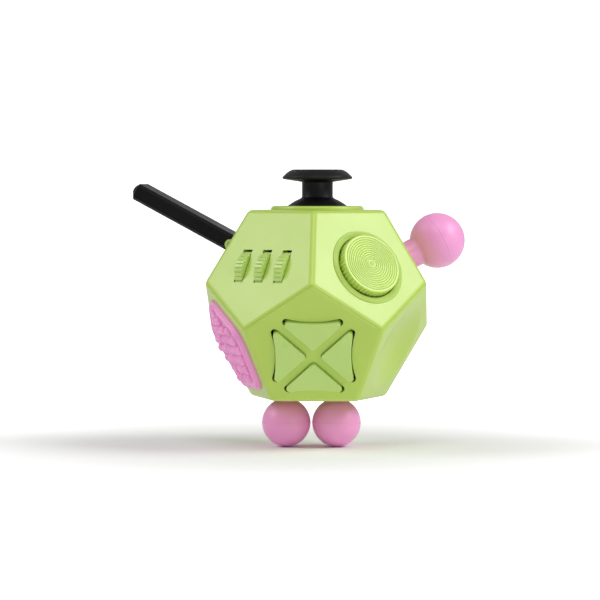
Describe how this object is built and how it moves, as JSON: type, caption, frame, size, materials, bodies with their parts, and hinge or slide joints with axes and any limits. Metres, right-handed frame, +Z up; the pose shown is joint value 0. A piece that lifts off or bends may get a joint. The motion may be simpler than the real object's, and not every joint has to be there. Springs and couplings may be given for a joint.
{
  "type": "fidget toy",
  "caption": "Twelve-sided hand fidget toy with a thumb joystick, toothed rollers, dial, keys, rocker, flip lever, soft balls, massage pad and thumb dish.",
  "frame": {"origin": "under the middle of the toy's bounding box, at the height of the lowest point of the two lower balls", "axes": "+Z up out of the joystick face, -Y towards the arrow keys, +X towards the single ball and away from the lever"},
  "size_m": [0.09, 0.0608, 0.0737],
  "materials": {
    "case_plastic": "satin moulded ABS",
    "key_plastic": "satin moulded ABS",
    "dial_plastic": "moulded ABS with turned rings",
    "stick_rubber": "satin soft-touch rubber",
    "lever_plastic": "satin moulded ABS",
    "pink_silicone": "moulded silicone",
    "membrane_silicone": "moulded silicone sheet",
    "inner_plastic": "natural acetal",
    "zinc_steel": "zinc-plated steel",
    "polished_steel": "polished bearing steel"
  },
  "bodies": {
    "case": {"upper_shell": "case_plastic", "lower_shell": "case_plastic", "joystick_base": "inner_plastic", "joystick_return_spring": "zinc_steel", "joystick_base_screws": "zinc_steel", "roller_axle": "zinc_steel", "roller_cradle": "inner_plastic", "roller_cradle_screws": "zinc_steel", "arrow_key_membrane": "membrane_silicone", "arrow_key_backplate": "inner_plastic", "arrow_key_screws": "zinc_steel", "massage_pad": "pink_silicone", "lever_hinge_pin": "zinc_steel", "bounce_ball_anchor": "pink_silicone", "twin_ball_anchor_left": "pink_silicone", "twin_ball_anchor_right": "pink_silicone", "rocker_pin": "zinc_steel", "steel_ball_cup": "inner_plastic", "steel_ball_cup_screws": "zinc_steel", "click_key_membrane": "membrane_silicone", "click_key_backplate": "inner_plastic", "click_key_screws": "zinc_steel"},
    "gimbal": {"gimbal_ring": "inner_plastic"},
    "joystick": {"joystick_cap": "stick_rubber", "joystick_shaft": "inner_plastic", "joystick_cross_pin": "zinc_steel"},
    "roller_left": {"toothed_roller_left": "key_plastic"},
    "roller_middle": {"toothed_roller_middle": "key_plastic"},
    "roller_right": {"toothed_roller_right": "key_plastic"},
    "dial": {"dial_knob": "dial_plastic", "dial_retaining_clip": "zinc_steel"},
    "key_right": {"arrow_key_right": "key_plastic"},
    "key_up": {"arrow_key_up": "key_plastic"},
    "key_left": {"arrow_key_left": "key_plastic"},
    "key_down": {"arrow_key_down": "key_plastic"},
    "lever": {"flip_lever": "lever_plastic"},
    "ball": {"bounce_ball": "pink_silicone"},
    "twin_left": {"twin_ball_left": "pink_silicone"},
    "twin_right": {"twin_ball_right": "pink_silicone"},
    "rocker": {"rocker_switch": "key_plastic"},
    "bearing_ball": {"steel_ball": "polished_steel"},
    "click_1": {"click_key_1": "key_plastic"},
    "click_2": {"click_key_2": "key_plastic"},
    "click_3": {"click_key_3": "key_plastic"},
    "click_4": {"click_key_4": "key_plastic"},
    "click_5": {"click_key_5": "key_plastic"}
  },
  "joints": [
    {"name": "joystick_front_back", "type": "hinge", "parent": "case", "child": "gimbal", "pos_m": [0.00579, 0, 0.0544], "axis": [1, 0, 0], "range_deg": [-16, 16], "stiffness_Nm_per_rad": 0.04, "deforming": ["joystick_return_spring"]},
    {"name": "joystick_left_right", "type": "hinge", "parent": "gimbal", "child": "joystick", "pos_m": [0.00579, 0, 0.0544], "axis": [0, 1, 0], "range_deg": [-16, 16], "stiffness_Nm_per_rad": 0.04, "deforming": ["joystick_return_spring"]},
    {"name": "roller_left_spin", "type": "hinge", "parent": "case", "child": "roller_left", "pos_m": [-0.01102, -0.01183, 0.0466], "axis": [0.809, -0.5878, 0], "continuous": true},
    {"name": "roller_middle_spin", "type": "hinge", "parent": "case", "child": "roller_middle", "pos_m": [-0.00564, -0.01574, 0.0466], "axis": [0.809, -0.5878, 0], "continuous": true},
    {"name": "roller_right_spin", "type": "hinge", "parent": "case", "child": "roller_right", "pos_m": [-0.00026, -0.01965, 0.0466], "axis": [0.809, -0.5878, 0], "continuous": true},
    {"name": "dial_turn", "type": "hinge", "parent": "case", "child": "dial", "pos_m": [0.01971, -0.01814, 0.0483], "axis": [0.5257, -0.7236, 0.4472], "continuous": true},
    {"name": "arrow_right_press", "type": "slide", "parent": "case", "child": "key_right", "axis": [0, 0.8944, 0.4472], "range_m": [0, 0.001], "stiffness_N_per_m": 600, "springref_m": -0.0003, "deforming": ["arrow_key_membrane"]},
    {"name": "arrow_up_press", "type": "slide", "parent": "case", "child": "key_up", "axis": [0, 0.8944, 0.4472], "range_m": [0, 0.001], "stiffness_N_per_m": 600, "springref_m": -0.0003, "deforming": ["arrow_key_membrane"]},
    {"name": "arrow_left_press", "type": "slide", "parent": "case", "child": "key_left", "axis": [0, 0.8944, 0.4472], "range_m": [0, 0.001], "stiffness_N_per_m": 600, "springref_m": -0.0003, "deforming": ["arrow_key_membrane"]},
    {"name": "arrow_down_press", "type": "slide", "parent": "case", "child": "key_down", "axis": [0, 0.8944, 0.4472], "range_m": [0, 0.001], "stiffness_N_per_m": 600, "springref_m": -0.0003, "deforming": ["arrow_key_membrane"]},
    {"name": "click_1_press", "type": "slide", "parent": "case", "child": "click_1", "axis": [0.5257, -0.7236, 0.4472], "range_m": [0, 0.001], "stiffness_N_per_m": 600, "springref_m": -0.0003, "deforming": ["click_key_membrane"]},
    {"name": "click_2_press", "type": "slide", "parent": "case", "child": "click_2", "axis": [0.5257, -0.7236, 0.4472], "range_m": [0, 0.001], "stiffness_N_per_m": 600, "springref_m": -0.0003, "deforming": ["click_key_membrane"]},
    {"name": "click_3_press", "type": "slide", "parent": "case", "child": "click_3", "axis": [0.5257, -0.7236, 0.4472], "range_m": [0, 0.001], "stiffness_N_per_m": 600, "springref_m": -0.0003, "deforming": ["click_key_membrane"]},
    {"name": "click_4_press", "type": "slide", "parent": "case", "child": "click_4", "axis": [0.5257, -0.7236, 0.4472], "range_m": [0, 0.001], "stiffness_N_per_m": 600, "springref_m": -0.0003, "deforming": ["click_key_membrane"]},
    {"name": "click_5_press", "type": "slide", "parent": "case", "child": "click_5", "axis": [0.5257, -0.7236, 0.4472], "range_m": [0, 0.001], "stiffness_N_per_m": 600, "springref_m": -0.0003, "deforming": ["click_key_membrane"]},
    {"name": "lever_flip", "type": "hinge", "parent": "case", "child": "lever", "pos_m": [-0.01611, 0.00712, 0.05375], "axis": [-0.309, -0.9511, 0], "range_deg": [-60, 90]},
    {"name": "bounce_ball_bend", "type": "hinge", "parent": "case", "child": "ball", "pos_m": [0.02995, 0.00785, 0.0508], "axis": [-0.309, 0.9511, 0], "range_deg": [-30, 30], "stiffness_Nm_per_rad": 0.03},
    {"name": "twin_ball_left_bend", "type": "hinge", "parent": "case", "child": "twin_left", "pos_m": [-0.00251, 0, 0.0146], "axis": [1, 0, 0], "range_deg": [-20, 20], "stiffness_Nm_per_rad": 0.03},
    {"name": "twin_ball_right_bend", "type": "hinge", "parent": "case", "child": "twin_right", "pos_m": [0.01089, 0, 0.0146], "axis": [1, 0, 0], "range_deg": [-20, 20], "stiffness_Nm_per_rad": 0.03},
    {"name": "rocker_tip", "type": "hinge", "parent": "case", "child": "rocker", "pos_m": [0.00579, 0.0195, 0.04785], "axis": [-1, 0, 0], "range_deg": [-18, 0]},
    {"name": "steel_ball_spin", "type": "hinge", "parent": "case", "child": "bearing_ball", "pos_m": [0.01767, 0.01634, 0.028], "axis": [-0.809, 0.5878, 0], "continuous": true}
  ]
}
